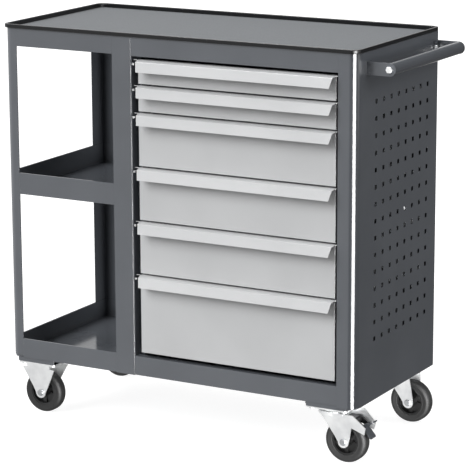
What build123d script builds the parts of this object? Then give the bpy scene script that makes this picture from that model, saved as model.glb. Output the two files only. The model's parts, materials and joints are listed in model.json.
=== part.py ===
"""Workshop tool cart: open shelf bay on the left, six-drawer cabinet on the right, push handle, casters.

Frame: millimetres, +Z up, +X to the right, front of the cart towards -Y.
Origin: on the floor, under the centre of the whole cart's footprint, grips and handle included.
"""
from build123d import *
import math
import os

# ---- driving dimensions -------------------------------------------------------------------------
BODY_W = 904.0          # outside of left posts to outside of right panel
BODY_D = 418.0          # front face to rear face
BODY_Z0 = 132.0         # underside of the side panel above the floor
BODY_H = 788.0          # side panel height, up to the worktop rim
SHEET = 1.5             # body sheet steel
FIT = 0.1               # hairline gap between folded sheets that only touch
CORNER_R = 20.0         # rounded vertical front corners
RIM_H = 9.0
RIM_OVER = 4.0          # rim overhang beyond the body
RIM_W = 6.5
MAT_T = 2.5
MAT_BELOW_RIM = 10.5    # mat surface below the rim's top
PAN_CORNER_R = 16.5
REAR_R = 3.0            # rear vertical corners
RAIL_RETURN = 15.0      # folded edges of the rails under the worktop

POST_FRONT_W = 33.5     # front face of the left corner post
POST_LEG = 49.0         # side leg of the corner posts
CENTRE_POST_X = 291.3   # left edge of the centre post, from the left side
CENTRE_POST_W = 49.3
RIGHT_FLANGE = 45.3     # front flange of the right panel, corner included
POST_FOOT = 9.0         # left posts end this far above the side panel's underside
CENTRE_POST_FOOT = 3.8  # and the centre post this far
CENTRE_POST_R = 2.0

RAIL_FOOT = 5.0         # underside of front rails above the side panel's underside
BOTTOM_RAIL_H = 44.7
FLOOR_RETURN = 20.0     # folded top edge of the bottom rail
WALL_RETURN = 10.0      # rear edge of the partition wall
FASCIA_H = 43.0
BAY_FASCIA_H = 41.5
SHELF_LIP = 50.0
MIDDLE_SHELF_Z = 400.0  # underside of the middle shelf above the side panel's underside
BOTTOM_LIP = 46.0

HOLE_PITCH = 38.0       # square perforation
HOLE_SIDE = 10.0
HOLE_COLUMNS = 8
HOLE_ROWS = 15
HOLE_FIRST_Y = 95.8     # first column behind the front face
HOLE_FIRST_Z = 673.3    # top row above the panel's underside

UPRIGHT_Y = 24.0        # slide uprights in from the front and rear
UPRIGHT_W = 36.0

DRAWER_UNITS = [1, 1, 2, 2, 2, 3]
DRAWER_UNIT = 62.3
DRAWER_GAP = 4.0
DRAWER_BASE = 60.7      # underside of the lowest front above the side panel's underside
FRONT_X0 = 359.3        # drawer fronts, from the left side
FRONT_X1 = 853.7
FRONT_RECESS = 1.0
DRAWER_SHEET = 1.2
FRONT_RETURN = 12.0
GRIP_DEPTH = 15.0
GRIP_FALL = 3.0
GRIP_FACE = 22.0
GRIP_LEAN = 8.0
GRIP_INSET = 2.0        # grip face in from the front panel's ends, at the bend
GRIP_TAPER = 5.0        # and how much more at its lower edge
EAR_LEFT = 12.0         # pointed ends of the grip's top flange, past the panel
EAR_RIGHT = 3.0
TRAY_D = 375.0
TRAY_ABOVE_FRONT = 4.0  # tray's underside above the front's underside
TRAY_BELOW_TOP = 7.0
SLIDE_W = 12.7
SLIDE_H = 20.0
SLIDE_L = 372.0
SLIDE_SHEET = 1.2
SLIDE_BELOW_TOP = 9.0   # slide's top below the front's top
SLIDE_LEG = 9.0         # legs of the fixed channel
RUNNER_LEG = 7.0        # legs of the moving channel
RUNNER_INSET = 4.0      # moving channel inside the fixed one
HOOK = 4.5              # side of each slide's hook

HANDLE_PLATE = 3.0
HANDLE_H = 29.0
HANDLE_REACH = 53.5     # tube axis beyond the side panel
HANDLE_Z = 752.2        # tube axis above the panel's underside
HANDLE_Y0 = 46.0
HANDLE_Y1 = 409.0
GRIP_R = 14.0
GRIP_WALL = 2.0
HANDLE_BOLT_R = 4.0
HANDLE_BOLT_HEAD = 7.5  # hexagon circumradius
HANDLE_BOLT_HEAD_H = 5.3
HANDLE_BOLT_L = 18.0
HANDLE_PLUG_L = 20.0    # solid plug in each end of the tube
HANDLE_FLANGE = 22.0
HANDLE_SCREW_Y = 14.0   # flange screw behind the outer face of its plate
HANDLE_SCREW_R = 5.0
HANDLE_SCREW_H = 3.0

WHEEL_R = 50.0
TYRE_W = 30.0
TYRE_SHOULDER = 9.0
RIM_R = 32.0
RIM_W_IN = 24.0         # width of the plastic rim
RIM_T = 3.5
RIM_WEB = 10.0          # spokes, along the axle
WEB_T = 3.0             # closed disc between the spokes
SPOKES = 5
SPOKE_W = 9.0
HUB_R = 13.0
HUB_W = 38.0
AXLE_R = 5.0
AXLE_PLAY = 0.05
LEG_T = 2.5
LEG_GAP_HUB = 20.5      # inner face of a leg from the wheel's centre plane, at the axle
LEG_GAP_TOP = 30.0      # and at the top
LEG_TIP_R = 13.0
AXLE_HEAD_R = 7.5
AXLE_HEAD_H = 4.0
AXLE_NUT_H = 6.0
PLATE_L = 100.0
PLATE_W = 78.0
PLATE_T = 3.0
PLATE_HOLE_X = 80.0
PLATE_HOLE_Y = 58.0
PLATE_BOLT_R = 4.0
PLATE_CORNER_R = 6.0
PLATE_HEAD_H = 4.0
BRACKET_L = 100.0
BRACKET_W = 76.8
BRACKET_H = 10.0
BRACKET_DROP = 5.0      # bracket's underside below the side panel's underside
BRIDGE_L = 48.0         # cut-out in the rigid fork's bridge
BRIDGE_W = 40.0
BRIDGE_HOLE_R = 8.5     # clears the plate bolts' heads
CROWN_TAB = 38.0        # flat of the swivel fork beyond the kingpin
CROWN_TAB_HALF_W = 33.0
LEG_FRONT = 20.0        # top edge of a swivel leg, ahead of the kingpin
LEG_BACK = 42.0         # and behind it
ARM_TOP = 62.0          # brake arms of the braked fork, all from the kingpin
ARM_REACH = 92.0
ARM_RISE = 4.0
ARM_DROP = 12.0
ARM_NOTCH = 57.0
CROWN_POCKET_R = 12.0
SWIVEL_OFFSET = 35.5
CROWN_R = 34.0
CROWN_T = 7.0
RACE_R = 28.0
RACE_T = 6.0
KINGPIN_R = 6.0
CASTER_INSET_Y = 40.0
RIGHT_SWIVEL_X = 832.5  # from the left side
LEFT_AXLE_X = 67.0
RACE_PLAY = 0.4
KINGPIN_FLANGE_R = 11.0
KINGPIN_FLANGE_T = 3.0
PLATE_NUT = 6.5         # hexagon circumradius of the plate bolts

PEDAL_DX = 79.0         # pedal pivot from the swivel axis
PEDAL_Z = 87.0
PEDAL_PIN_R = 3.0
COVER_HALF_W = 19.5     # brake cover
COVER_T = 2.0
COVER_SHEET = 3.0
COVER_BELOW_CROWN = 4.0
COVER_START = 36.0      # cover's front end and its cheeks' front end, from the swivel axis
CHEEK_START = 50.0
CHEEK_H = 14.0
COVER_BACK = 20.0       # cover's flat top ends this far ahead of the pedal's pivot
NOSE_REACH = 7.0        # cover's nose past the pivot
NOSE_RISE = 2.0
CHIN_BACK = 2.0
CHIN_DROP = 5.0
THROAT_BACK = 8.0       # inside of the cover's slope
THROAT_RISE = 1.0
SLOPE_BACK = 27.0
JOWL_BACK = 14.0        # lower edge of the cheeks
WINDOW_BACK = 16.0      # opening for the pedal
WINDOW_REACH = 20.0
WINDOW_HALF_W = 13.0
WINDOW_DROP = 12.0
PIN_PROUD = 1.5
PEDAL_HUB_R = 6.0
PEDAL_HUB_L = 24.0
PEDAL_TAB_L = 26.0
PEDAL_TAB_T = 3.0
PEDAL_TAB_R = 5.0
UPPER_TAB_RISE = 9.0
LOWER_TAB_DROP = 13.0
LOWER_TAB_SHIFT = 3.0   # towards the front
UPPER_TAB_TILT = -30.0
LOWER_TAB_TILT = 50.0

# ---- derived positions --------------------------------------------------------------------------
FRONT_REACH = GRIP_DEPTH + GRIP_LEAN - FRONT_RECESS         # drawer grips in front of the body
SIDE_REACH = HANDLE_REACH + HANDLE_H / 2                    # handle beyond the side panel
LEFT = RIM_OVER - (RIM_OVER + BODY_W + SIDE_REACH) / 2
RIGHT = LEFT + BODY_W
FRONT = FRONT_REACH - (FRONT_REACH + BODY_D + RIM_OVER) / 2
REAR = FRONT + BODY_D
TOP_Z = BODY_Z0 + BODY_H
RIM_TOP = TOP_Z + RIM_H
MAT_TOP = RIM_TOP - MAT_BELOW_RIM
PAN_FLOOR = MAT_TOP - MAT_T - SHEET
POST_X0 = LEFT + CENTRE_POST_X
POST_X1 = POST_X0 + CENTRE_POST_W
FLANGE_X = RIGHT - RIGHT_FLANGE
WALL_X = POST_X1 + FIT                      # cabinet's left wall, outer face
RUN_X0 = LEFT + 354.3                       # inner faces that the slides bolt to
RUN_X1 = FLANGE_X
HANDLE_AXIS_X = RIGHT + HANDLE_REACH
HANDLE_AXIS_Z = BODY_Z0 + HANDLE_Z
SLIDE_Y0 = FRONT + FRONT_RECESS + FRONT_RETURN
BRACKET_Z0 = BODY_Z0 - BRACKET_DROP
PLATE_Z0 = BRACKET_Z0 - PLATE_T
AXLE_Z = WHEEL_R
FRONT_AXLE_Y = FRONT + CASTER_INSET_Y
REAR_AXLE_Y = REAR - CASTER_INSET_Y
CASTERS = {
    "front_left": (LEFT + LEFT_AXLE_X, FRONT_AXLE_Y),
    "rear_left": (LEFT + LEFT_AXLE_X, REAR_AXLE_Y),
    "front_right": (LEFT + RIGHT_SWIVEL_X, FRONT_AXLE_Y),
    "rear_right": (LEFT + RIGHT_SWIVEL_X, REAR_AXLE_Y),
}


def block(x0, x1, y0, y1, z0, z1):
    """A box between two corners."""
    return Pos((x0 + x1) / 2, (y0 + y1) / 2, (z0 + z1) / 2) * Box(x1 - x0, y1 - y0, z1 - z0)


def shaft(x, y, z, radius, length):
    """A cylinder along Y, centred on a point."""
    return Pos(x, y, z) * Rot(90, 0, 0) * Cylinder(radius, length)


def upright(x, y, z0, z1, radius):
    """A cylinder along Z between two heights."""
    return Pos(x, y, (z0 + z1) / 2) * Cylinder(radius, z1 - z0)


def round_edge(part, x, y, radius):
    """Fillet the vertical edge nearest to a plan position."""
    edges = part.edges().filter_by(Axis.Z)
    nearest = edges.sort_by(lambda e: math.hypot(e.center().X - x, e.center().Y - y))[0]
    return fillet(nearest, radius)


def prism_along_y(points, y0, y1):
    """A polygon in XZ, extruded from y0 to y1."""
    outline = Polyline(*[(x, y0, z) for x, z in points], close=True)
    return extrude(make_face(outline), amount=y1 - y0, dir=(0, 1, 0))


def prism_along_z(points, z0, z1):
    """A polygon in XY, extruded from z0 to z1."""
    outline = Polyline(*[(x, y, z0) for x, y in points], close=True)
    return extrude(make_face(outline), amount=z1 - z0, dir=(0, 0, 1))


def prism_along_x(points, x0, x1):
    """A polygon in YZ, extruded from x0 to x1."""
    outline = Polyline(*[(x0, y, z) for y, z in points], close=True)
    return extrude(make_face(outline), amount=x1 - x0, dir=(1, 0, 0))


# ---- worktop ------------------------------------------------------------------------------------
def worktop_rim():
    """Edge profile round the worktop, with rounded corners."""
    outer = block(LEFT - RIM_OVER, RIGHT + RIM_OVER, FRONT - RIM_OVER, REAR + RIM_OVER, TOP_Z, RIM_TOP)
    outer = fillet(outer.edges().filter_by(Axis.Z), CORNER_R)
    inset = RIM_W - RIM_OVER
    inner = block(LEFT + inset, RIGHT - inset, FRONT + inset, REAR - inset, TOP_Z - 1, RIM_TOP + 1)
    inner = fillet(inner.edges().filter_by(Axis.Z), PAN_CORNER_R)
    ring = outer - inner
    return chamfer(ring.faces().sort_by(Axis.Z)[-1].edges(), 1.0)


def worktop_tray():
    """Sheet pan that hangs inside the rim and carries the mat."""
    inset = RIM_W - RIM_OVER
    outer = block(LEFT + inset, RIGHT - inset, FRONT + inset, REAR - inset, PAN_FLOOR, RIM_TOP - 1.5)
    outer = fillet(outer.edges().filter_by(Axis.Z), PAN_CORNER_R)
    deep = inset + SHEET
    hollow = block(LEFT + deep, RIGHT - deep, FRONT + deep, REAR - deep, PAN_FLOOR + SHEET, RIM_TOP)
    hollow = fillet(hollow.edges().filter_by(Axis.Z), PAN_CORNER_R - SHEET)
    return outer - hollow


def worktop_mat():
    """Rubber mat that fills the pan."""
    inset = RIM_W - RIM_OVER + SHEET + 0.5
    mat = block(LEFT + inset, RIGHT - inset, FRONT + inset, REAR - inset, MAT_TOP - MAT_T, MAT_TOP)
    return fillet(mat.edges().filter_by(Axis.Z), PAN_CORNER_R - SHEET - 0.5)


# ---- shelf bay ----------------------------------------------------------------------------------
def corner_angle(x0, y0, leg_x, leg_y, corner_r, z0, z1):
    """Folded angle whose outer corner is at (x0, y0); the legs point along the signs given."""
    x1 = x0 + leg_x
    y1 = y0 + leg_y
    inward_x = math.copysign(SHEET, leg_x)
    inward_y = math.copysign(SHEET, leg_y)
    outer = block(min(x0, x1), max(x0, x1), min(y0, y1), max(y0, y1), z0, z1)
    outer = round_edge(outer, x0, y0, corner_r)
    ix = x0 + inward_x
    iy = y0 + inward_y
    far_x = x1 + inward_x
    far_y = y1 + inward_y
    inner = block(min(ix, far_x), max(ix, far_x), min(iy, far_y), max(iy, far_y), z0 - 1, z1 + 1)
    inner = round_edge(inner, ix, iy, max(corner_r - SHEET, 0.5))
    return outer - inner


def corner_post_front_left():
    return corner_angle(LEFT, FRONT, POST_FRONT_W, POST_LEG, CORNER_R, BODY_Z0 + POST_FOOT, TOP_Z)


def corner_post_rear_left():
    return corner_angle(LEFT, REAR, POST_LEG, -POST_LEG, REAR_R, BODY_Z0 + POST_FOOT, TOP_Z)


def centre_post():
    """Right front post of the bay; its side leg stops under the worktop pan."""
    post = corner_angle(POST_X1, FRONT, -CENTRE_POST_W, POST_LEG, CENTRE_POST_R,
                        BODY_Z0 + CENTRE_POST_FOOT, TOP_Z)
    above_pan = block(POST_X0 - 1, POST_X1 + 1, FRONT + 2, FRONT + POST_LEG + 1, PAN_FLOOR, TOP_Z + 1)
    return post - above_pan


def bay_top_fascia():
    """Front rail over the shelf bay, with a return along its lower edge."""
    z0 = TOP_Z - BAY_FASCIA_H
    x0 = LEFT + POST_FRONT_W + FIT
    x1 = POST_X0 - FIT
    face = block(x0, x1, FRONT, FRONT + SHEET, z0, TOP_Z)
    return face + block(x0, x1, FRONT, FRONT + RAIL_RETURN, z0, z0 + SHEET)


def bay_top_rails():
    """End rail and rear rail under the worktop."""
    z0 = TOP_Z - BAY_FASCIA_H
    end = block(LEFT, LEFT + SHEET, FRONT + POST_LEG + FIT, REAR - POST_LEG - FIT, z0, TOP_Z)
    end += block(LEFT, LEFT + RAIL_RETURN, FRONT + POST_LEG + FIT, REAR - POST_LEG - FIT, z0, z0 + SHEET)
    rear = block(LEFT + POST_LEG + FIT, WALL_X - FIT, REAR - SHEET, REAR, z0, TOP_Z)
    rear += block(LEFT + POST_LEG + FIT, WALL_X - FIT, REAR - RAIL_RETURN, REAR, z0, z0 + SHEET)
    return Compound(children=[end, rear])


def shelf(z0, lip):
    """Folded shelf tray whose front, left and rear lips are flush with the posts."""
    gap = SHEET + FIT
    x0 = LEFT + gap
    x1 = POST_X1 - SHEET - FIT
    y0 = FRONT + gap
    y1 = REAR - gap
    outer = round_edge(block(x0, x1, y0, y1, z0, z0 + lip), x0, y0, CORNER_R - gap)
    outer = round_edge(outer, x0, y1, REAR_R)
    outer = round_edge(outer, x1, y0, CENTRE_POST_R)
    hollow = block(x0 + SHEET, x1 - SHEET, y0 + SHEET, y1 - SHEET, z0 + SHEET, z0 + lip + 1)
    hollow = round_edge(hollow, x0 + SHEET, y0 + SHEET, CORNER_R - gap - SHEET)
    tray = outer - hollow
    tray += block(LEFT + POST_FRONT_W + FIT, POST_X0 - FIT, FRONT, y0, z0, z0 + lip)
    tray += block(LEFT, x0, FRONT + POST_LEG + FIT, REAR - POST_LEG - FIT, z0, z0 + lip)
    tray += block(LEFT + POST_LEG + FIT, x1, y1 - SHEET, REAR, z0, z0 + lip)
    return tray


# ---- drawer cabinet -----------------------------------------------------------------------------
def side_panel_right():
    """Perforated side panel bent round the front corner, with front and rear flanges."""
    outer = block(FLANGE_X, RIGHT, FRONT, REAR, BODY_Z0, TOP_Z)
    outer = round_edge(outer, RIGHT, FRONT, CORNER_R)
    outer = round_edge(outer, RIGHT, REAR, REAR_R)
    inner = block(FLANGE_X - 1, RIGHT - SHEET, FRONT + SHEET, REAR - SHEET, BODY_Z0 - 1, TOP_Z + 1)
    inner = round_edge(inner, RIGHT - SHEET, FRONT + SHEET, CORNER_R - SHEET)
    inner = round_edge(inner, RIGHT - SHEET, REAR - SHEET, REAR_R - SHEET)
    panel = outer - inner
    punches = []
    for column in range(HOLE_COLUMNS):
        for row in range(HOLE_ROWS):
            y = FRONT + HOLE_FIRST_Y + column * HOLE_PITCH
            z = BODY_Z0 + HOLE_FIRST_Z - row * HOLE_PITCH
            punches.append(Pos(RIGHT, y, z) * Box(3 * SHEET, HOLE_SIDE, HOLE_SIDE))
    return panel - punches


def drawer_fascia():
    z0 = TOP_Z - FASCIA_H
    face = block(WALL_X, FLANGE_X - FIT, FRONT, FRONT + SHEET, z0, TOP_Z)
    return face + block(WALL_X + SHEET + FIT, FLANGE_X - FIT, FRONT, FRONT + RAIL_RETURN, z0, z0 + SHEET)


def drawer_bottom_rail():
    z0 = BODY_Z0 + RAIL_FOOT
    z1 = z0 + BOTTOM_RAIL_H
    face = block(WALL_X, FLANGE_X - FIT, FRONT, FRONT + SHEET, z0, z1)
    return face + block(WALL_X + SHEET + FIT, FLANGE_X - FIT, FRONT, FRONT + FLOOR_RETURN, z1 - SHEET, z1)


def partition_wall():
    """Left wall of the drawer cabinet, closed towards the shelf bay."""
    y0 = FRONT + SHEET + FIT
    y1 = REAR - FIT
    web = block(WALL_X, WALL_X + SHEET, y0, y1, BODY_Z0 + RAIL_FOOT, PAN_FLOOR)
    return web + block(WALL_X, WALL_X + WALL_RETURN, y1 - SHEET, y1, BODY_Z0 + RAIL_FOOT, PAN_FLOOR)


def slide_uprights():
    """Four folded channels, two on each side, that carry the drawer slides."""
    z0 = BODY_Z0 + RAIL_FOOT + SHEET
    sides = [(WALL_X + SHEET, RUN_X0, RUN_X0 - SHEET), (RUN_X1, RIGHT - SHEET, RUN_X1)]
    channels = []
    for x0, x1, web_x in sides:
        for y0 in (FRONT + UPRIGHT_Y, REAR - SHEET - UPRIGHT_Y - UPRIGHT_W):
            channel = block(web_x, web_x + SHEET, y0, y0 + UPRIGHT_W, z0, PAN_FLOOR)
            for leg_y in (y0, y0 + UPRIGHT_W - SHEET):
                channel += block(x0, x1, leg_y, leg_y + SHEET, z0, PAN_FLOOR)
            channels.append(channel)
    return Compound(children=channels)


def cabinet_back():
    x0 = WALL_X + WALL_RETURN + FIT
    x1 = RIGHT - 2 * SHEET - 1
    y1 = REAR - SHEET - FIT
    return block(x0, x1, y1 - SHEET, y1, BODY_Z0 + RAIL_FOOT + SHEET, PAN_FLOOR)


def cabinet_floor():
    x1 = RIGHT - SHEET - FIT
    y0 = FRONT + SHEET + FIT
    sheet = block(WALL_X + SHEET, x1, y0, REAR - 2 * SHEET - 2 * FIT, BODY_Z0 + RAIL_FOOT,
                  BODY_Z0 + RAIL_FOOT + SHEET)
    return round_edge(sheet, x1, y0, CORNER_R - SHEET)


# ---- drawers ------------------------------------------------------------------------------------
def drawer_heights():
    """Underside and top of each front, from the top drawer down."""
    spans = []
    z = BODY_Z0 + DRAWER_BASE + sum(DRAWER_UNITS) * DRAWER_UNIT
    for units in DRAWER_UNITS:
        low = z - units * DRAWER_UNIT
        high = z - DRAWER_GAP
        spans.append((low, high))
        z = low
    first_low, first_high = spans[0]
    spans[0] = (first_low, first_high - DRAWER_GAP)
    return spans


def drawer_front(low, high):
    """Front panel with side and bottom returns and a bent grip along its upper edge."""
    x0 = LEFT + FRONT_X0
    x1 = LEFT + FRONT_X1
    y0 = FRONT + FRONT_RECESS
    t = DRAWER_SHEET
    panel = block(x0, x1, y0, y0 + FRONT_RETURN, low, high)
    panel -= block(x0 + t, x1 - t, y0 + t, y0 + FRONT_RETURN + 1, low + t, high - t)
    top_y = y0 - GRIP_DEPTH
    lip_y = top_y - GRIP_LEAN
    bend_z = high - GRIP_FALL
    lip_z = bend_z - GRIP_FACE
    thick_y = t / math.cos(math.atan2(GRIP_LEAN, GRIP_FACE))
    section = [(y0 + t, high), (y0 - t, high), (top_y, bend_z), (lip_y, lip_z),
               (lip_y + thick_y, lip_z), (top_y + thick_y, bend_z - t), (y0 - t, high - t),
               (y0 + t, high - t)]
    grip = prism_along_x(section, x0, x1)
    for inward, edge in ((1, x0), (-1, x1)):
        outside = edge - inward
        flange_cut = [(edge, y0 - t), (edge + inward * GRIP_INSET, top_y), (outside, top_y),
                      (outside, y0 - t)]
        grip -= prism_along_z(flange_cut, bend_z - t, high + 1)
        face_cut = [(edge + inward * GRIP_INSET, bend_z),
                    (edge + inward * (GRIP_INSET + GRIP_TAPER), lip_z - 1), (outside, lip_z - 1),
                    (outside, bend_z)]
        grip -= prism_along_y(face_cut, lip_y - 1, y0 - t)
    for outward, edge, reach in ((-1, x0, EAR_LEFT), (1, x1, EAR_RIGHT)):
        ear = [(edge, y0 + t), (edge + outward * reach, y0 + t), (edge, y0 - t)]
        grip += prism_along_z(ear, high - t, high)
    return panel + grip


def tray_box(low, high):
    """Plan and height limits of a drawer's tray."""
    x0 = RUN_X0 + SLIDE_W
    x1 = RUN_X1 - SLIDE_W
    return x0, x1, SLIDE_Y0, SLIDE_Y0 + TRAY_D, low + TRAY_ABOVE_FRONT, high - TRAY_BELOW_TOP


def drawer_tray(low, high):
    """Open sheet tray behind the front."""
    x0, x1, y0, y1, z0, z1 = tray_box(low, high)
    t = DRAWER_SHEET
    return block(x0, x1, y0, y1, z0, z1) - block(x0 + t, x1 - t, y0 + t, y1 - t, z0 + t, z1 + 1)


def slide_channel(wall, inward, leg, z0, z1):
    """A slide member: its web lies against a wall and its two legs point inward."""
    t = SLIDE_SHEET
    web_end = wall + inward * t
    leg_end = wall + inward * leg
    y1 = SLIDE_Y0 + SLIDE_L
    member = block(min(wall, web_end), max(wall, web_end), SLIDE_Y0, y1, z0, z1)
    for leg_z in (z0, z1 - t):
        member += block(min(wall, leg_end), max(wall, leg_end), SLIDE_Y0, y1, leg_z, leg_z + t)
    return member


def drawer_runners(high):
    """The two slide members that are fastened to the tray's sides."""
    z1 = high - SLIDE_BELOW_TOP - RUNNER_INSET
    z0 = z1 - SLIDE_H + 2 * RUNNER_INSET
    left = slide_channel(RUN_X0 + SLIDE_W, -1, RUNNER_LEG, z0, z1)
    right = slide_channel(RUN_X1 - SLIDE_W, 1, RUNNER_LEG, z0, z1)
    return Compound(children=[left, right])


def slide_rails():
    """The fixed slide members, one pair for each drawer, and the hooks that hang the left ones."""
    rails = []
    for low, high in drawer_heights():
        z1 = high - SLIDE_BELOW_TOP
        rails.append(slide_channel(RUN_X0, 1, SLIDE_LEG, z1 - SLIDE_H, z1))
        rails.append(slide_channel(RUN_X1, -1, SLIDE_LEG, z1 - SLIDE_H, z1))
        hook_x = WALL_X + SHEET
        hook_y = FRONT + 2 * SHEET
        rails.append(block(hook_x, hook_x + HOOK, hook_y, hook_y + HOOK, z1 - HOOK, z1))
    return Compound(children=rails)


# ---- handle -------------------------------------------------------------------------------------
def handle_brackets():
    """Two plates with rounded ends, each with a flange bolted to the side panel."""
    brackets = []
    for y0, flange_dir in ((FRONT + HANDLE_Y0, 1), (FRONT + HANDLE_Y1, -1)):
        low = HANDLE_AXIS_Z - HANDLE_H / 2
        plate = block(RIGHT, HANDLE_AXIS_X, y0, y0 + HANDLE_PLATE, low, low + HANDLE_H)
        plate += shaft(HANDLE_AXIS_X, y0 + HANDLE_PLATE / 2, HANDLE_AXIS_Z, HANDLE_H / 2, HANDLE_PLATE)
        plate -= shaft(HANDLE_AXIS_X, y0 + HANDLE_PLATE / 2, HANDLE_AXIS_Z, HANDLE_BOLT_R + FIT,
                       2 * HANDLE_PLATE)
        flange_y = y0 if flange_dir > 0 else y0 + HANDLE_PLATE - HANDLE_FLANGE
        plate += block(RIGHT, RIGHT + HANDLE_PLATE, flange_y, flange_y + HANDLE_FLANGE, low,
                       low + HANDLE_H)
        brackets.append(plate)
    return Compound(children=brackets)


def handle_grip():
    """Tube between the two plates, with plugged ends drilled for the bolts."""
    y0 = FRONT + HANDLE_Y0 + HANDLE_PLATE
    y1 = FRONT + HANDLE_Y1
    length = y1 - y0
    middle = (y0 + y1) / 2
    tube = shaft(HANDLE_AXIS_X, middle, HANDLE_AXIS_Z, GRIP_R, length)
    hollow = shaft(HANDLE_AXIS_X, middle, HANDLE_AXIS_Z, GRIP_R - GRIP_WALL, length - 2 * HANDLE_PLUG_L)
    drill = shaft(HANDLE_AXIS_X, middle, HANDLE_AXIS_Z, HANDLE_BOLT_R, length + 2)
    return tube - hollow - drill


def handle_bolts():
    """Hexagon bolts through the plates, and the flange screws."""
    near = FRONT + HANDLE_Y0
    far = FRONT + HANDLE_Y1 + HANDLE_PLATE
    bolts = []
    for y, outward in ((near, -1), (far, 1)):
        hexagon = Plane.XZ * RegularPolygon(HANDLE_BOLT_HEAD, 6)
        head = Pos(HANDLE_AXIS_X, y, HANDLE_AXIS_Z) * extrude(hexagon, amount=-outward * HANDLE_BOLT_HEAD_H)
        stem = shaft(HANDLE_AXIS_X, y - outward * HANDLE_BOLT_L / 2, HANDLE_AXIS_Z, HANDLE_BOLT_R,
                     HANDLE_BOLT_L)
        bolts.append(head + stem)
        screw = Rot(0, 90, 0) * Cylinder(HANDLE_SCREW_R, HANDLE_SCREW_H)
        bolts.append(Pos(RIGHT + HANDLE_PLATE + HANDLE_SCREW_H / 2, y - outward * HANDLE_SCREW_Y,
                         HANDLE_AXIS_Z) * screw)
    return Compound(children=bolts)


# ---- casters ------------------------------------------------------------------------------------
def bolt_pattern(x, y):
    """Centres of the four plate bolts round a caster's centre."""
    return [(x + dx * PLATE_HOLE_X / 2, y + dy * PLATE_HOLE_Y / 2) for dx in (-1, 1) for dy in (-1, 1)]


def caster_brackets():
    """Box-section seats welded under the body, one for each caster."""
    seats = []
    half_w = BRACKET_W / 2
    inner_w = half_w - SHEET
    z1 = BRACKET_Z0 + BRACKET_H
    for x, y in CASTERS.values():
        seat = block(x - BRACKET_L / 2, x + BRACKET_L / 2, y - half_w, y + half_w, BRACKET_Z0, z1)
        seat -= block(x - BRACKET_L, x + BRACKET_L, y - inner_w, y + inner_w, BRACKET_Z0 + SHEET, z1 - SHEET)
        for bolt_x, bolt_y in bolt_pattern(x, y):
            seat -= upright(bolt_x, bolt_y, BRACKET_Z0 - 1, BRACKET_Z0 + SHEET + 1, PLATE_BOLT_R + FIT)
        seats.append(seat)
    return Compound(children=seats)


def caster_plates():
    """Top plates; the right-hand pair carry the swivel race and the kingpin."""
    race_z = PLATE_Z0 - RACE_T
    flange_z = race_z - CROWN_T - 2 * RACE_PLAY
    plates = []
    for name, (x, y) in CASTERS.items():
        plate = block(x - PLATE_L / 2, x + PLATE_L / 2, y - PLATE_W / 2, y + PLATE_W / 2, PLATE_Z0,
                      BRACKET_Z0)
        plate = fillet(plate.edges().filter_by(Axis.Z), PLATE_CORNER_R)
        for bolt_x, bolt_y in bolt_pattern(x, y):
            plate -= upright(bolt_x, bolt_y, PLATE_Z0 - 1, BRACKET_Z0 + 1, PLATE_BOLT_R + FIT)
        if "right" in name:
            plate += upright(x, y, race_z, PLATE_Z0, RACE_R)
            plate += upright(x, y, flange_z, race_z, KINGPIN_R)
            plate += upright(x, y, flange_z - KINGPIN_FLANGE_T, flange_z, KINGPIN_FLANGE_R)
        plates.append(plate)
    return Compound(children=plates)


def caster_plate_bolts():
    """Four bolts through each top plate."""
    bolts = []
    for x, y in CASTERS.values():
        for bolt_x, bolt_y in bolt_pattern(x, y):
            stem = upright(bolt_x, bolt_y, PLATE_Z0, BRACKET_Z0 + SHEET, PLATE_BOLT_R)
            hexagon = Pos(bolt_x, bolt_y, PLATE_Z0) * RegularPolygon(PLATE_NUT, 6)
            bolts.append(stem + extrude(hexagon, amount=-PLATE_HEAD_H))
    return Compound(children=bolts)


def leg(axle_x, y, side, shoulder, top_z):
    """One fork leg: its upper outline is given in XZ, and it leans inward to the axle's round end."""
    outline = shoulder + [(axle_x + LEG_TIP_R, AXLE_Z), (axle_x - LEG_TIP_R, AXLE_Z)]
    reach = LEG_GAP_TOP + LEG_T
    shape = prism_along_y(outline, y, y + side * reach)
    shape += shaft(axle_x, y + side * reach / 2, AXLE_Z, LEG_TIP_R, reach)
    low_y = y + side * LEG_GAP_HUB
    high_y = y + side * LEG_GAP_TOP
    thick = side * LEG_T
    tip_z = AXLE_Z - LEG_TIP_R - 1
    knee_z = AXLE_Z + LEG_TIP_R
    section = [(low_y, tip_z), (low_y, knee_z), (high_y, top_z + 1), (high_y + thick, top_z + 1),
               (low_y + thick, knee_z), (low_y + thick, tip_z)]
    sheet = prism_along_x(section, axle_x - PLATE_L, axle_x + PLATE_L)
    plate = shape & sheet
    return plate - shaft(axle_x, y, AXLE_Z, AXLE_R, 4 * LEG_GAP_TOP)


def rigid_fork(x, y):
    """Fixed fork: two legs under a bridge that lies against the top plate."""
    half_l = PLATE_L / 2
    half_w = LEG_GAP_TOP + LEG_T
    fork = block(x - half_l, x + half_l, y - half_w, y + half_w, PLATE_Z0 - LEG_T, PLATE_Z0)
    fork -= block(x - BRIDGE_L / 2, x + BRIDGE_L / 2, y - BRIDGE_W / 2, y + BRIDGE_W / 2,
                  PLATE_Z0 - LEG_T - 1, PLATE_Z0 + 1)
    for side in (-1, 1):
        fork += leg(x, y, side, [(x - half_l, PLATE_Z0), (x + half_l, PLATE_Z0)], PLATE_Z0)
    for bolt_x, bolt_y in bolt_pattern(x, y):
        fork -= upright(bolt_x, bolt_y, PLATE_Z0 - CROWN_POCKET_R, PLATE_Z0 + 1, BRIDGE_HOLE_R)
    return fork


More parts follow.
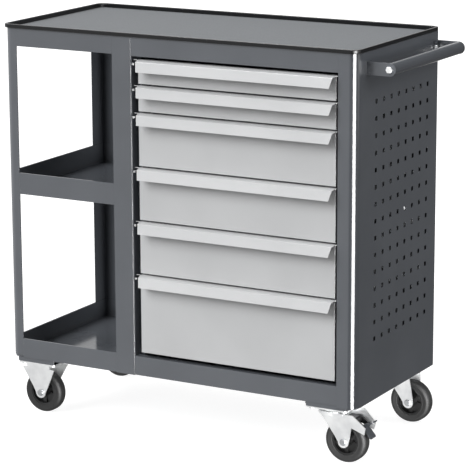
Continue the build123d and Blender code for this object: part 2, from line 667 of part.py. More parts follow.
def swivel_fork(x, y, braked):
    """Swivel fork: round crown with the kingpin hole, and two legs that trail to the axle.

    On the braked caster each leg has an arm that reaches back beside the pedal.
    """
    axle_x = x + SWIVEL_OFFSET
    crown_top = PLATE_Z0 - RACE_T - RACE_PLAY
    crown_low = crown_top - CROWN_T
    fork = upright(x, y, crown_low, crown_top, CROWN_R)
    fork += block(x, x + CROWN_TAB, y - CROWN_TAB_HALF_W, y + CROWN_TAB_HALF_W, crown_top - LEG_T, crown_top)
    shoulder = [(x - LEG_FRONT, crown_top), (x + LEG_BACK, crown_top)]
    if braked:
        shoulder = [(x - LEG_FRONT, crown_top), (x + ARM_TOP, crown_top), (x + ARM_REACH, PEDAL_Z + ARM_RISE),
                    (x + ARM_REACH - ARM_RISE, PEDAL_Z - ARM_DROP), (x + ARM_NOTCH, PEDAL_Z)]
    for side in (-1, 1):
        fork += leg(axle_x, y, side, shoulder, crown_top)
    fork -= upright(x, y, crown_low - CROWN_T, crown_top + 1, KINGPIN_R + AXLE_PLAY)
    return fork - upright(x, y, crown_low - CROWN_T, crown_low, CROWN_POCKET_R)


def tyre(x, y):
    """Solid rubber tyre with rounded shoulders."""
    ring = shaft(x, y, AXLE_Z, WHEEL_R, TYRE_W)
    ring = fillet(ring.edges().filter_by(GeomType.CIRCLE), TYRE_SHOULDER)
    return ring - shaft(x, y, AXLE_Z, RIM_R, TYRE_W + 2)


def wheel_centre(x, y):
    """Plastic rim, ribbed disc and hub."""
    centre = shaft(x, y, AXLE_Z, RIM_R, RIM_W_IN) - shaft(x, y, AXLE_Z, RIM_R - RIM_T, TYRE_W)
    centre += shaft(x, y, AXLE_Z, RIM_R - RIM_T / 2, WEB_T)
    centre += shaft(x, y, AXLE_Z, HUB_R, HUB_W)
    spoke_middle = (RIM_R - RIM_T + HUB_R) / 2
    for index in range(SPOKES):
        turn = Rot(0, 90.0 + index * 360.0 / SPOKES, 0)
        spoke = Pos(spoke_middle, 0, 0) * Box(RIM_R - RIM_T - HUB_R + 4, RIM_WEB, SPOKE_W)
        centre += Pos(x, y, AXLE_Z) * turn * spoke
    return centre - shaft(x, y, AXLE_Z, AXLE_R + AXLE_PLAY, HUB_W + 2)


def axle(x, y):
    """Axle bolt with a domed head in front and a nut behind."""
    half = LEG_GAP_HUB + LEG_T
    stem = shaft(x, y, AXLE_Z, AXLE_R, 2 * half)
    head = shaft(x, y - half - AXLE_HEAD_H / 2, AXLE_Z, AXLE_HEAD_R, AXLE_HEAD_H)
    head = fillet(head.faces().sort_by(Axis.Y)[0].edges(), AXLE_HEAD_H / 2)
    nut = extrude(Plane.XZ * RegularPolygon(AXLE_HEAD_R, 6), amount=-AXLE_NUT_H)
    return stem + head + Pos(x, y + half, AXLE_Z) * nut


def brake_housing(x, y):
    """Cover over the fork of the braked caster, holding the pedal's pivot pin."""
    top_z = PLATE_Z0 - RACE_T - RACE_PLAY - CROWN_T - COVER_BELOW_CROWN
    px = x + PEDAL_DX
    back_x = px - COVER_BACK
    start_x = x + COVER_START
    nose = (px + NOSE_REACH, PEDAL_Z + NOSE_RISE)
    chin = (px - CHIN_BACK, PEDAL_Z - CHIN_DROP)
    lid = [(start_x, top_z), (back_x, top_z), nose, chin, (px - THROAT_BACK, PEDAL_Z + THROAT_RISE),
           (px - SLOPE_BACK, top_z - COVER_SHEET), (start_x, top_z - COVER_SHEET)]
    cover = prism_along_y(lid, y - COVER_HALF_W, y + COVER_HALF_W)
    cheek = [(x + CHEEK_START, top_z), (back_x, top_z), nose, chin, (px - JOWL_BACK, PEDAL_Z),
             (x + CHEEK_START, top_z - CHEEK_H)]
    for side in (-1, 1):
        cover += prism_along_y(cheek, y + side * (COVER_HALF_W - COVER_T), y + side * COVER_HALF_W)
    cover -= block(px - WINDOW_BACK, px + WINDOW_REACH, y - WINDOW_HALF_W, y + WINDOW_HALF_W,
                   PEDAL_Z - WINDOW_DROP, top_z + 1)
    return cover + shaft(px, y, PEDAL_Z, PEDAL_PIN_R, 2 * (COVER_HALF_W - COVER_T + PIN_PROUD))


def brake_pedal(x, y):
    """Rocker pedal: upper tab to release, lower tab to lock."""
    px = x + PEDAL_DX
    tab_x = px + PEDAL_TAB_L / 2
    hub = shaft(px, y, PEDAL_Z, PEDAL_HUB_R, PEDAL_HUB_L)
    upper = Box(PEDAL_TAB_L, PEDAL_HUB_L, PEDAL_TAB_T)
    upper = fillet(upper.edges().filter_by(Axis.Z), PEDAL_TAB_R)
    lower = Box(PEDAL_TAB_L, PEDAL_TAB_L, PEDAL_TAB_T)
    lower = fillet(lower.edges().filter_by(Axis.Z), PEDAL_TAB_R)
    pedal = hub + Pos(tab_x, y, PEDAL_Z + UPPER_TAB_RISE) * Rot(0, UPPER_TAB_TILT, 0) * upper
    pedal += Pos(tab_x, y - LOWER_TAB_SHIFT, PEDAL_Z - LOWER_TAB_DROP) * Rot(0, LOWER_TAB_TILT, 0) * lower
    return pedal - shaft(px, y, PEDAL_Z, PEDAL_PIN_R + AXLE_PLAY, 2 * PEDAL_HUB_L)


# ---- assembly -----------------------------------------------------------------------------------
def build_nodes():
    nodes = {
        "worktop_rim": worktop_rim(),
        "worktop_tray": worktop_tray(),
        "worktop_mat": worktop_mat(),
        "corner_post_front_left": corner_post_front_left(),
        "corner_post_rear_left": corner_post_rear_left(),
        "centre_post": centre_post(),
        "bay_top_fascia": bay_top_fascia(),
        "bay_top_rails": bay_top_rails(),
        "middle_shelf": shelf(BODY_Z0 + MIDDLE_SHELF_Z, SHELF_LIP),
        "bottom_shelf": shelf(BODY_Z0 + RAIL_FOOT, BOTTOM_LIP),
        "side_panel_right": side_panel_right(),
        "drawer_fascia": drawer_fascia(),
        "drawer_bottom_rail": drawer_bottom_rail(),
        "partition_wall": partition_wall(),
        "slide_uprights": slide_uprights(),
        "cabinet_back": cabinet_back(),
        "cabinet_floor": cabinet_floor(),
        "slide_rails": slide_rails(),
        "handle_brackets": handle_brackets(),
        "handle_grip": handle_grip(),
        "handle_bolts": handle_bolts(),
        "caster_brackets": caster_brackets(),
        "caster_plates": caster_plates(),
        "caster_plate_bolts": caster_plate_bolts(),
    }
    for number, (low, high) in enumerate(drawer_heights(), start=1):
        nodes[f"drawer_{number}_front"] = drawer_front(low, high)
        nodes[f"drawer_{number}_tray"] = drawer_tray(low, high)
        nodes[f"drawer_{number}_runners"] = drawer_runners(high)
    for name, (x, y) in CASTERS.items():
        swivels = "right" in name
        axle_x = x + SWIVEL_OFFSET if swivels else x
        braked = name == "front_right"
        nodes[f"caster_{name}_fork"] = swivel_fork(x, y, braked) if swivels else rigid_fork(x, y)
        nodes[f"caster_{name}_axle"] = axle(axle_x, y)
        nodes[f"caster_{name}_tyre"] = tyre(axle_x, y)
        nodes[f"caster_{name}_wheel"] = wheel_centre(axle_x, y)
    x, y = CASTERS["front_right"]
    nodes["brake_housing"] = brake_housing(x, y)
    nodes["brake_pedal"] = brake_pedal(x, y)
    return nodes


def main():
    os.makedirs("parts", exist_ok=True)
    for name, shape in build_nodes().items():
        export_step(shape, f"parts/{name}.step")


main()
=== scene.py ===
"""Workshop tool cart in powder-coated sheet steel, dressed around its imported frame.

Metres, +Z up, +X to the right seen from the drawers, front of the cart towards -Y.
"""
import json
import math

import bmesh
import bpy
from mathutils import Matrix, Vector


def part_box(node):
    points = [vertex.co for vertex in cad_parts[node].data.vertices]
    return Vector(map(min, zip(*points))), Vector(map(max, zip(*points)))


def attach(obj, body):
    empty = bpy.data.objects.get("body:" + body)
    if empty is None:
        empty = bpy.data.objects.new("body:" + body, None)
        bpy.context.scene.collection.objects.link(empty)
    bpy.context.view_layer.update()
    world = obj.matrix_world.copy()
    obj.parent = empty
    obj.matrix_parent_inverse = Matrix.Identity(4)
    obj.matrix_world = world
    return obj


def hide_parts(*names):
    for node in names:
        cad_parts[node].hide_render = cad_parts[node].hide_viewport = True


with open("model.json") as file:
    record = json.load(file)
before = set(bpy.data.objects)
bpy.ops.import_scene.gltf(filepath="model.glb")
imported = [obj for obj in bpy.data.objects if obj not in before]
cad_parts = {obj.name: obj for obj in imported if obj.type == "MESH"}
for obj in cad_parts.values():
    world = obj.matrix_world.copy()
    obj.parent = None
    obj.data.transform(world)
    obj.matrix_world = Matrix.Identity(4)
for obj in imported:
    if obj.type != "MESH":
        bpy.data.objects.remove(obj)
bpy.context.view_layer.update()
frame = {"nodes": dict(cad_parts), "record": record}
BODY_OF = {node: body for body, nodes in frame["record"]["behaviour"]["bodies"].items() for node in nodes}
SLOT_OF = {row["node"]: row["material_slot"] for row in frame["record"]["subparts"]}
MM = 0.001

# ---- sizes of what the folded, pressed and turned pieces add to the frame ---------------------------
FOLD_RADIUS = 1.6 * MM          # outside of a bend in 1.5 mm sheet
BURR_RADIUS = 0.35 * MM         # dulled, painted sheet edge
DRAWER_FOLD = 2.2 * MM          # softer bends and thicker paint on the drawer fronts
DRAWER_BURR = 0.5 * MM
WIDE_FACE = 4 * MM              # a face wider than this is sheet, not sheet edge
SHARP = math.radians(30)
SMOOTH_LIMIT = math.radians(42)
SHOULDER = 9 * MM               # tyre
SIDEWALL_DISH = 1.5 * MM
BEAD_WIDTH = 3 * MM
MAT_BEAD = 5 * MM               # raised border of the mat
MAT_BEAD_RISE = 0.8 * MM
SCREW_RADIUS = 4.5 * MM         # dome screws of the cabinet
SCREW_RISE = 1.6 * MM
HOLE_PITCH = 38 * MM            # perforated panel
FIRST_HOLE_BACK = 95.8 * MM     # first column behind the panel's front
FIRST_HOLE_DOWN = 114.7 * MM    # top row under the panel's top
SCREW_COLUMN = 4
SCREW_ROW = 7
SEAT_BOLT_RADIUS = 3.2 * MM     # bolts at the caster seats, drawn black as painted shade
SEAT_BOLT_REACH = 4.5 * MM
SEAT_BOLT_EDGE = 1 * MM
SEAT_BOLT_BACK = 9 * MM
SEAT_HALF_LENGTH = 50 * MM


# ---- colour and node helpers ------------------------------------------------------------------------
def linear(colour):
    """sRGB hex to a linear RGBA tuple."""
    channels = [int(colour[i : i + 2], 16) / 255 for i in (1, 3, 5)]
    return tuple(c / 12.92 if c <= 0.04045 else ((c + 0.055) / 1.055) ** 2.4 for c in channels) + (1.0,)


def add_node(tree, kind, settings=None, links=None, stops=None):
    """Adds a node, sets its sockets or properties by name, links its inputs and fills a ramp's stops."""
    node = tree.nodes.new(kind)
    for key, value in (settings or {}).items():
        if key in node.inputs:
            node.inputs[key].default_value = value
        else:
            setattr(node, key, value)
    for key, source in (links or {}).items():
        tree.links.new(source, node.inputs[key])
    for element, (position, colour) in zip(node.color_ramp.elements if stops else [], stops or []):
        element.position = position
        element.color = linear(colour)
    return node


def start_material(name, **sockets):
    """A new material with a Principled shader set from the given sockets, and its object coordinates."""
    material = bpy.data.materials.new(name)
    material.use_nodes = True
    tree = material.node_tree
    shader = tree.nodes["Principled BSDF"]
    for key, value in sockets.items():
        shader.inputs[key.replace("_", " ")].default_value = value
    place = add_node(tree, "ShaderNodeTexCoord").outputs["Object"]
    return material, tree, shader, place


# ---- materials --------------------------------------------------------------------------------------
def powder_coat(name, dark, light, roughness, peel=1.0):
    """Sprayed and baked polyester powder: an even colour, a soft gloss and a faint orange peel.

    Real peel is about 1.5 mm across; it is drawn at 4 mm so that it shows.
    """
    material, tree, shader, place = start_material(name, IOR=1.5)
    cloud = add_node(tree, "ShaderNodeTexNoise", {"Scale": 1 / (180 * MM), "Detail": 3.0}, {"Vector": place})
    grain = add_node(tree, "ShaderNodeTexNoise", {"Scale": 1 / (4 * MM), "Detail": 2.0}, {"Vector": place})
    colour = add_node(
        tree, "ShaderNodeValToRGB", links={"Fac": cloud.outputs["Fac"]}, stops=[(0.35, dark), (0.65, light)]
    )
    gloss = add_node(
        tree,
        "ShaderNodeMapRange",
        {"To Min": roughness * 0.85, "To Max": roughness * 1.15},
        {"Value": grain.outputs["Fac"]},
    )
    wave = add_node(
        tree,
        "ShaderNodeBump",
        {"Distance": 0.5 * MM, "Strength": 0.3 * peel},
        {"Height": cloud.outputs["Fac"]},
    )
    skin = add_node(
        tree,
        "ShaderNodeBump",
        {"Distance": 0.03 * MM, "Strength": 0.5 * peel},
        {"Height": grain.outputs["Fac"], "Normal": wave.outputs["Normal"]},
    )
    tree.links.new(colour.outputs["Color"], shader.inputs["Base Color"])
    tree.links.new(gloss.outputs["Result"], shader.inputs["Roughness"])
    tree.links.new(skin.outputs["Normal"], shader.inputs["Normal"])
    return material


def calendered_rubber():
    """Calendered rubber sheet: matt grey with a fine cross-hatched grip pattern.

    The pattern of such a mat is about 1 mm; it is drawn at 3 mm so that it shows.
    """
    material, tree, shader, place = start_material("calendered_grey_rubber", IOR=1.35)
    speck = add_node(tree, "ShaderNodeTexNoise", {"Scale": 1 / (2.2 * MM), "Detail": 3.0}, {"Vector": place})
    colour = add_node(
        tree,
        "ShaderNodeValToRGB",
        links={"Fac": speck.outputs["Fac"]},
        stops=[(0.3, "#595C5F"), (0.7, "#676A6D")],
    )
    gloss = add_node(
        tree, "ShaderNodeMapRange", {"To Min": 0.75, "To Max": 0.92}, {"Value": speck.outputs["Fac"]}
    )
    normal = add_node(
        tree,
        "ShaderNodeBump",
        {"Distance": 0.1 * MM, "Strength": 0.6},
        {"Height": speck.outputs["Fac"]},
    ).outputs["Normal"]
    for stretch in ((1, 0.12, 1), (0.12, 1, 1)):
        along = add_node(tree, "ShaderNodeMapping", {"Scale": stretch}, {"Vector": place})
        weave = add_node(
            tree,
            "ShaderNodeTexNoise",
            {"Scale": 1 / (3 * MM), "Detail": 1.0},
            {"Vector": along.outputs["Vector"]},
        )
        normal = add_node(
            tree,
            "ShaderNodeBump",
            {"Distance": 0.25 * MM, "Strength": 0.5},
            {"Height": weave.outputs["Fac"], "Normal": normal},
        ).outputs["Normal"]
    tree.links.new(colour.outputs["Color"], shader.inputs["Base Color"])
    tree.links.new(gloss.outputs["Result"], shader.inputs["Roughness"])
    tree.links.new(normal, shader.inputs["Normal"])
    return material


def zinc_plate(name, dark, light):
    """Electroplated zinc on pressed steel: bright, very slightly cloudy, with fine drawing marks."""
    material, tree, shader, place = start_material(name, Metallic=1.0)
    cloud = add_node(tree, "ShaderNodeTexNoise", {"Scale": 1 / (30 * MM), "Detail": 2.0}, {"Vector": place})
    drawn = add_node(tree, "ShaderNodeMapping", {"Scale": (1, 1, 0.15)}, {"Vector": place})
    marks = add_node(
        tree,
        "ShaderNodeTexNoise",
        {"Scale": 1 / (1.2 * MM), "Detail": 2.0},
        {"Vector": drawn.outputs["Vector"]},
    )
    colour = add_node(
        tree,
        "ShaderNodeValToRGB",
        links={"Fac": cloud.outputs["Fac"]},
        stops=[(0.35, dark), (0.65, light)],
    )
    gloss = add_node(
        tree, "ShaderNodeMapRange", {"To Min": 0.36, "To Max": 0.48}, {"Value": cloud.outputs["Fac"]}
    )
    scratch = add_node(
        tree, "ShaderNodeBump", {"Distance": 0.02 * MM, "Strength": 0.3}, {"Height": marks.outputs["Fac"]}
    )
    tree.links.new(colour.outputs["Color"], shader.inputs["Base Color"])
    tree.links.new(gloss.outputs["Result"], shader.inputs["Roughness"])
    tree.links.new(scratch.outputs["Normal"], shader.inputs["Normal"])
    return material


def moulded(name, dark, light, roughness, grain_size, depth, ior=1.5):
    """Moulded, pressed or stoved skin: an even body colour and a fine eroded grain."""
    material, tree, shader, place = start_material(name, IOR=ior)
    grain = add_node(tree, "ShaderNodeTexNoise", {"Scale": 1 / grain_size, "Detail": 3.0}, {"Vector": place})
    colour = add_node(
        tree, "ShaderNodeValToRGB", links={"Fac": grain.outputs["Fac"]}, stops=[(0.35, dark), (0.65, light)]
    )
    gloss = add_node(
        tree,
        "ShaderNodeMapRange",
        {"To Min": roughness * 0.85, "To Max": roughness * 1.15},
        {"Value": grain.outputs["Fac"]},
    )
    skin = add_node(
        tree, "ShaderNodeBump", {"Distance": depth, "Strength": 0.6}, {"Height": grain.outputs["Fac"]}
    )
    tree.links.new(colour.outputs["Color"], shader.inputs["Base Color"])
    tree.links.new(gloss.outputs["Result"], shader.inputs["Roughness"])
    tree.links.new(skin.outputs["Normal"], shader.inputs["Normal"])
    return material


MATERIALS = {
    "body_paint": powder_coat("powder_coat_anthracite", "#54575C", "#595C61", 0.13),
    # near black: on the worktop rim partly its own black paint, partly painted shade for the dark reflection band on
    # its folded edges; on the caster seat bolts painted shade
    "edge_paint": moulded("black_rim_paint_and_painted_shade", "#0C0D0F", "#131416", 0.3, 3 * MM, 0.03 * MM, 1.38),
    "mat_rubber": calendered_rubber(),
    "drawer_paint": powder_coat("powder_coat_light_grey", "#B3B4B5", "#B9BABB", 0.3, 0.7),
    "tray_paint": powder_coat("powder_coat_grey_inside", "#ABADAF", "#B4B6B8", 0.35, 0.6),
    "grip_paint": powder_coat("powder_coat_anthracite_tube", "#505358", "#55585D", 0.14),
    "zinc": zinc_plate("bright_zinc_plate", "#D9DADB", "#E8E9E9"),
    "tyre_rubber": moulded("vulcanised_black_rubber", "#101011", "#171718", 0.62, 1.5 * MM, 0.05 * MM),
    "wheel_plastic": moulded("moulded_black_polypropylene", "#121213", "#19191A", 0.35, 1.0 * MM, 0.02 * MM),
    "brake_plastic": moulded("moulded_black_nylon", "#202122", "#2A2B2D", 0.35, 1.0 * MM, 0.03 * MM),
}


# darker zinc for the caster axle heads, so that they read as a darker ring against the forks
DARKER_ZINC = zinc_plate("darker_zinc_axle", "#A0A2A4", "#B0B2B3")
OPEN_TRAYS = ("middle_shelf", "bottom_shelf")      # the edge round an open tray is cut into triangles


# ---- mesh helpers -------------------------------------------------------------------------------------
def finish_piece(name, bm, body, slot, replaced=(), material=None):
    """Turns mesh code into a piece: shading, material, the body it rides on and what it stands for."""
    for face in bm.faces:
        face.smooth = True
    for edge in bm.edges:
        if edge.is_manifold and edge.calc_face_angle(0) > SMOOTH_LIMIT:
            edge.smooth = False
    mesh = bpy.data.meshes.new(name)
    bm.to_mesh(mesh)
    bm.free()
    piece = bpy.data.objects.new(name, mesh)
    bpy.context.scene.collection.objects.link(piece)
    mesh.materials.append(material or MATERIALS[slot])
    shading = piece.modifiers.new("flat faces stay flat", "WEIGHTED_NORMAL")
    shading.keep_sharp = True
    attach(piece, body)
    if replaced:
        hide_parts(*replaced)
    return piece


def sheet_width(face, edge):
    return face.calc_area() / edge.calc_length()


def sharp_edges(bm):
    return [e for e in bm.edges if e.is_manifold and e.is_convex and e.calc_face_angle(0) > SHARP]


def soften(bm, fold, burr):
    """Rounds the outside of every bend by fold and dulls every sheet edge by burr."""
    folds = [e for e in sharp_edges(bm) if min(sheet_width(f, e) for f in e.link_faces) > WIDE_FACE]
    bmesh.ops.bevel(bm, geom=folds, offset=fold, segments=4, profile=0.5, affect="EDGES", clamp_overlap=True)
    bmesh.ops.bevel(
        bm, geom=sharp_edges(bm), offset=burr, segments=2, profile=0.5, affect="EDGES", clamp_overlap=True
    )


def solid_of(node):
    """A clean copy of the frame's solid for one node."""
    bm = bmesh.new()
    bm.from_mesh(frame["nodes"][node].data)
    bmesh.ops.remove_doubles(bm, verts=bm.verts, dist=1e-6)
    bmesh.ops.dissolve_limit(bm, angle_limit=math.radians(0.5), verts=bm.verts, edges=bm.edges)
    return bm


def folded(node, fold=FOLD_RADIUS, burr=BURR_RADIUS, material=None):
    """The frame's solid as folded sheet, with real bend and edge radii."""
    bm = solid_of(node)
    if node in OPEN_TRAYS:
        bmesh.ops.triangulate(bm, faces=[f for f in bm.faces if len(f.verts) > 4])
    soften(bm, fold, burr)
    return finish_piece(node + "_folded", bm, BODY_OF[node], SLOT_OF[node], [node], material)


def lathe(bm, profile, centre, axis, closed=False, steps=64):
    """Turns a profile of (along, radius) points round an axis through centre; closed joins its ends."""
    side = axis.orthogonal().normalized()
    other = axis.cross(side)
    rings = []
    for along, radius in profile:
        count = steps if radius > 1e-7 else 1
        ring = []
        for i in range(count):
            turn = 2 * math.pi * i / count
            spoke = side * math.cos(turn) + other * math.sin(turn)
            ring.append(bm.verts.new(centre + axis * along + spoke * radius))
        rings.append(ring)
    if closed:
        rings.append(rings[0])
    for a, b in zip(rings, rings[1:]):
        for i in range(steps):
            j = (i + 1) % steps
            corners = [a[i % len(a)], a[j % len(a)], b[j % len(b)], b[i % len(b)]]
            unique = list(dict.fromkeys(corners))
            if len(unique) > 2:
                bm.faces.new(unique)
    bmesh.ops.recalc_face_normals(bm, faces=bm.faces)


def arc(along, out, radius, start, end, steps=8):
    """Points (along, radius) on a rounding of a lathe profile, angles in degrees from +along."""
    turns = [math.radians(start + (end - start) * i / steps) for i in range(steps + 1)]
    return [(along + radius * math.cos(t), out + radius * math.sin(t)) for t in turns]


# ---- sheet metal --------------------------------------------------------------------------------------
SHEET_NODES = [
    "worktop_tray", "corner_post_front_left", "corner_post_rear_left", "centre_post", "bay_top_fascia",
    "bay_top_rails", "middle_shelf", "bottom_shelf", "side_panel_right", "drawer_fascia",
    # slide_uprights take dark paint from their slot in model.json as painted shade, so that the holes of the side
    # panel read dark
    "drawer_bottom_rail", "partition_wall", "slide_uprights", "cabinet_back", "cabinet_floor",
    "slide_rails", "caster_brackets", "handle_brackets",
]
for name in SHEET_NODES:
    folded(name)
for number in range(1, 7):
    folded(f"drawer_{number}_front", DRAWER_FOLD, DRAWER_BURR)
    folded(f"drawer_{number}_tray")
    folded(f"drawer_{number}_runners")
# the rim's near black is partly its own black paint and partly painted shade for the dark reflection band along its
# folded edges
folded("worktop_rim", 2 * MM, 0.6 * MM)
for name in ("handle_bolts", "caster_plates", "caster_plate_bolts", "brake_housing", "brake_pedal"):
    folded(name, 0.8 * MM, 0.4 * MM)


def worktop_mat():
    """Rubber mat with a raised border bead all round."""
    bm = solid_of("worktop_mat")
    top = max(bm.faces, key=lambda f: f.calc_center_median().z)
    bmesh.ops.inset_individual(bm, faces=[top], thickness=MAT_BEAD * 0.15)
    bmesh.ops.translate(bm, verts=top.verts, vec=(0, 0, MAT_BEAD_RISE))
    bmesh.ops.inset_individual(bm, faces=[top], thickness=MAT_BEAD * 0.6)
    bmesh.ops.inset_individual(bm, faces=[top], thickness=MAT_BEAD * 0.25)
    bmesh.ops.translate(bm, verts=top.verts, vec=(0, 0, -MAT_BEAD_RISE))
    finish_piece("worktop_mat_beaded", bm, "frame", "mat_rubber", ["worktop_mat"])


worktop_mat()


# ---- casters ------------------------------------------------------------------------------------------
def node_centre(node):
    low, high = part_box(node)
    return (Vector(low) + Vector(high)) / 2


def tyre(side):
    """Solid rubber tyre: crowned tread, round shoulders, dished side walls and a bead at the rim."""
    node = f"caster_{side}_tyre"
    low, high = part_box(node)
    rim_low, rim_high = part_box(f"caster_{side}_wheel")
    radius = (high.z - low.z) / 2
    half = (high.y - low.y) / 2
    rim = (rim_high.z - rim_low.z) / 2
    wall = half - SIDEWALL_DISH
    left = [(-wall, rim), (-wall - 0.6 * MM, rim + BEAD_WIDTH / 2), (-wall, rim + BEAD_WIDTH)]
    left += arc(SHOULDER - half, radius - SHOULDER, SHOULDER, 180, 90)
    profile = left + [(-along, out) for along, out in reversed(left)]
    bm = bmesh.new()
    lathe(bm, profile, node_centre(node), Vector((0, 1, 0)), closed=True, steps=96)
    finish_piece(f"caster_{side}_tyre_moulded", bm, BODY_OF[node], "tyre_rubber", [node])


for side in ("front_left", "rear_left", "front_right", "rear_right"):
    tyre(side)
    folded(f"caster_{side}_fork", 3 * MM, 0.6 * MM)
    folded(f"caster_{side}_wheel", 1.5 * MM, 0.6 * MM)
    folded(f"caster_{side}_axle", 0.8 * MM, 0.4 * MM, DARKER_ZINC)


def seat_bolts():
    """Bolts in the left ends of the front caster seats, drawn black as painted shade for the shadow they sit in."""
    low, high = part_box("caster_brackets")
    swivel = next(j for j in frame["record"]["behaviour"]["joints"] if j["name"] == "caster_front_right_swivel")
    bm = bmesh.new()
    for seat_x in (node_centre("caster_front_left_axle").x, swivel["pos_m"][0]):
        centre = Vector((seat_x - SEAT_HALF_LENGTH, low.y + SEAT_BOLT_BACK, (low.z + high.z) / 2))
        profile = [(-SEAT_BOLT_EDGE, 0), (-SEAT_BOLT_EDGE, SEAT_BOLT_RADIUS), (0, SEAT_BOLT_RADIUS)]
        profile += arc(SEAT_BOLT_REACH - SEAT_BOLT_EDGE, SEAT_BOLT_RADIUS - SEAT_BOLT_EDGE, SEAT_BOLT_EDGE, 90, 0, 4)
        lathe(bm, profile + [(SEAT_BOLT_REACH, 0)], centre, Vector((-1, 0, 0)), steps=24)
    finish_piece("caster_seat_bolts", bm, "frame", "edge_paint")


def panel_screw():
    """Dome screw seen in one hole of the perforated panel."""
    low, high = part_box("side_panel_right")
    y = low.y + FIRST_HOLE_BACK + SCREW_COLUMN * HOLE_PITCH
    z = high.z - FIRST_HOLE_DOWN - SCREW_ROW * HOLE_PITCH
    profile = [(-2 * SCREW_RISE, 0), (-2 * SCREW_RISE, SCREW_RADIUS), (-SCREW_RISE, SCREW_RADIUS)]
    profile += [(-SCREW_RISE / 2, SCREW_RADIUS * 0.8), (-SCREW_RISE / 8, SCREW_RADIUS * 0.4), (0, 0)]
    bm = bmesh.new()
    lathe(bm, profile, Vector((high.x, y, z)), Vector((1, 0, 0)), steps=32)
    finish_piece("panel_screw", bm, "frame", "zinc")


seat_bolts()
panel_screw()


# ---- handle -------------------------------------------------------------------------------------------
def handle_tube():
    """Steel tube with a rolled edge at each end."""
    low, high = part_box("handle_grip")
    radius = (high.z - low.z) / 2
    half = (high.y - low.y) / 2
    edge = 1.2 * MM
    bore = 4 * MM
    left = [(-half, bore)] + arc(edge - half, radius - edge, edge, 180, 90, 5)
    profile = left + [(-along, out) for along, out in reversed(left)]
    bm = bmesh.new()
    lathe(bm, profile, node_centre("handle_grip"), Vector((0, 1, 0)), closed=True, steps=72)
    finish_piece("handle_tube_rolled", bm, "frame", "grip_paint", ["handle_grip"])


handle_tube()


# ---- studio -----------------------------------------------------------------------------------------------
def pale_floor():
    """Seamless white studio floor, lit through from below, so that it stays white under the cart."""
    material, tree, shader, place = start_material("white_studio_floor", Roughness=0.9)
    grain = add_node(tree, "ShaderNodeTexNoise", {"Scale": 1 / (400 * MM), "Detail": 2.0}, {"Vector": place})
    colour = add_node(
        tree,
        "ShaderNodeValToRGB",
        links={"Fac": grain.outputs["Fac"]},
        stops=[(0.35, "#9A9A9A"), (0.65, "#9E9E9E")],
    )
    tree.links.new(colour.outputs["Color"], shader.inputs["Base Color"])
    shader.inputs["Emission Color"].default_value = (1, 1, 1, 1)
    shader.inputs["Emission Strength"].default_value = FLOOR_GLOW
    bm = bmesh.new()
    bmesh.ops.create_grid(bm, x_segments=1, y_segments=1, size=30)
    mesh = bpy.data.meshes.new("studio_floor")
    bm.to_mesh(mesh)
    bm.free()
    floor = bpy.data.objects.new("studio_floor", mesh)
    bpy.context.scene.collection.objects.link(floor)
    mesh.materials.append(material)
    floor.visible_glossy = False
    floor.visible_diffuse = False
    floor.visible_shadow = False


def away(azimuth, elevation):
    """Direction from the cart to a light; azimuth 0 is in front of the cart, 90 to its right."""
    a = math.radians(azimuth)
    e = math.radians(elevation)
    return Vector((math.sin(a) * math.cos(e), -math.cos(a) * math.cos(e), math.sin(e)))


def soft_box(name, target, azimuth, elevation, distance, width, height, power):
    """Rectangular studio light that faces a target."""
    back = away(azimuth, elevation)
    light = bpy.data.lights.new(name, "AREA")
    light.shape = "RECTANGLE"
    light.size = width
    light.size_y = height
    light.energy = power
    lamp = bpy.data.objects.new(name, light)
    lamp.location = target + back * distance
    lamp.rotation_mode = "QUATERNION"
    lamp.rotation_quaternion = (-back).to_track_quat("-Z", "Y")
    bpy.context.scene.collection.objects.link(lamp)
    return lamp


def overcast(name, azimuth, elevation, spread, strength):
    """Very soft light from one side, the same over the whole floor."""
    back = away(azimuth, elevation)
    light = bpy.data.lights.new(name, "SUN")
    light.angle = math.radians(spread)
    light.energy = strength
    lamp = bpy.data.objects.new(name, light)
    lamp.rotation_mode = "QUATERNION"
    lamp.rotation_quaternion = (-back).to_track_quat("-Z", "Y")
    bpy.context.scene.collection.objects.link(lamp)
    return lamp


def white_surround():
    """White wall all along the cart's left, a dim room to its right, and a white backdrop."""
    world = bpy.data.worlds.new("white_surround")
    bpy.context.scene.world = world
    world.use_nodes = True
    tree = world.node_tree
    tree.nodes.clear()
    direction = add_node(tree, "ShaderNodeTexCoord").outputs["Generated"]
    split = add_node(tree, "ShaderNodeSeparateXYZ", links={"Vector": direction})
    wall = add_node(
        tree,
        "ShaderNodeMapRange",
        {
            "From Min": -WALL_EDGE,
            "From Max": -WALL_FULL,
            "To Min": DIM_ROOM,
            "To Max": WALL_LIGHT,
            "interpolation_type": "SMOOTHSTEP",
        },
        {"Value": split.outputs["X"]},
    )
    path = add_node(tree, "ShaderNodeLightPath")
    strength = add_node(
        tree,
        "ShaderNodeMapRange",
        {"To Max": 1.0},
        {"Value": path.outputs["Is Camera Ray"], "To Min": wall.outputs["Result"]},
    )
    sky = add_node(
        tree, "ShaderNodeBackground", {"Color": (1, 1, 1, 1)}, {"Strength": strength.outputs["Result"]}
    )
    add_node(tree, "ShaderNodeOutputWorld", links={"Surface": sky.outputs["Background"]})


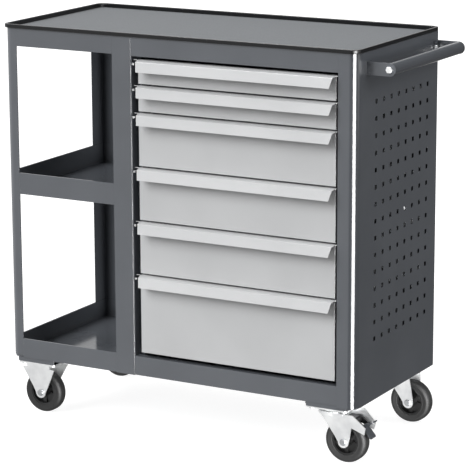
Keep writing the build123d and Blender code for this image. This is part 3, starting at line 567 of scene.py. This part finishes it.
def studio_camera():
    """Long lens from the right front, looking down by about 13 degrees."""
    camera = bpy.data.objects.new("camera", bpy.data.cameras.new("camera"))
    camera.data.sensor_width = 36
    camera.data.lens = LENS_MM
    camera.data.clip_end = 100
    yaw = math.radians(CAMERA_YAW)
    pitch = math.radians(CAMERA_PITCH)
    roll = math.radians(CAMERA_ROLL)
    forward = Vector((math.sin(yaw) * math.cos(pitch), math.cos(yaw) * math.cos(pitch), -math.sin(pitch)))
    right = Vector((math.cos(yaw), -math.sin(yaw), 0))
    up = right.cross(forward)
    tilted_right = right * math.cos(roll) + up * math.sin(roll)
    tilted_up = tilted_right.cross(forward)
    axes = Matrix((tilted_right, tilted_up, -forward)).transposed()
    camera.matrix_world = Matrix.Translation(BODY_CENTRE + CAMERA_FROM_BODY) @ axes.to_4x4()
    bpy.context.scene.collection.objects.link(camera)
    bpy.context.scene.camera = camera


post_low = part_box("corner_post_front_left")[0]
panel_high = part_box("side_panel_right")[1]
BODY_CENTRE = Vector(((post_low.x + panel_high.x) / 2, (post_low.y + panel_high.y) / 2, 0))
LENS_MM = 178.92
CAMERA_YAW = -29.073
CAMERA_PITCH = 12.962
CAMERA_ROLL = -0.219
CAMERA_FROM_BODY = Vector((2.6051, -4.6177, 1.6568))

FLOOR_GLOW = 0.85
WALL_EDGE = 0.1         # sideways part of the direction where the wall begins, and where it is full
WALL_FULL = 0.42
WALL_LIGHT = 1.0
DIM_ROOM = 0.12

pale_floor()
white_surround()
middle = BODY_CENTRE + Vector((0, 0, 0.5))
overcast("ceiling", -30, 80, 70, 1.0)
front_bank = overcast("front_bank", -30, 35, 40, 2.75)
front_bank.visible_glossy = False
overcast("right_bank", 100, 20, 60, 1.8)
corner_strip = soft_box("corner_strip", middle, 50, -8, 3.0, 1.7, 2.4, 380)
corner_strip.visible_diffuse = False
bend_strip = soft_box("bend_strip", middle, -30, 80, 3.0, 3.0, 1.0, 300)
bend_strip.visible_diffuse = False
studio_camera()
bpy.context.scene.view_settings.view_transform = "Standard"
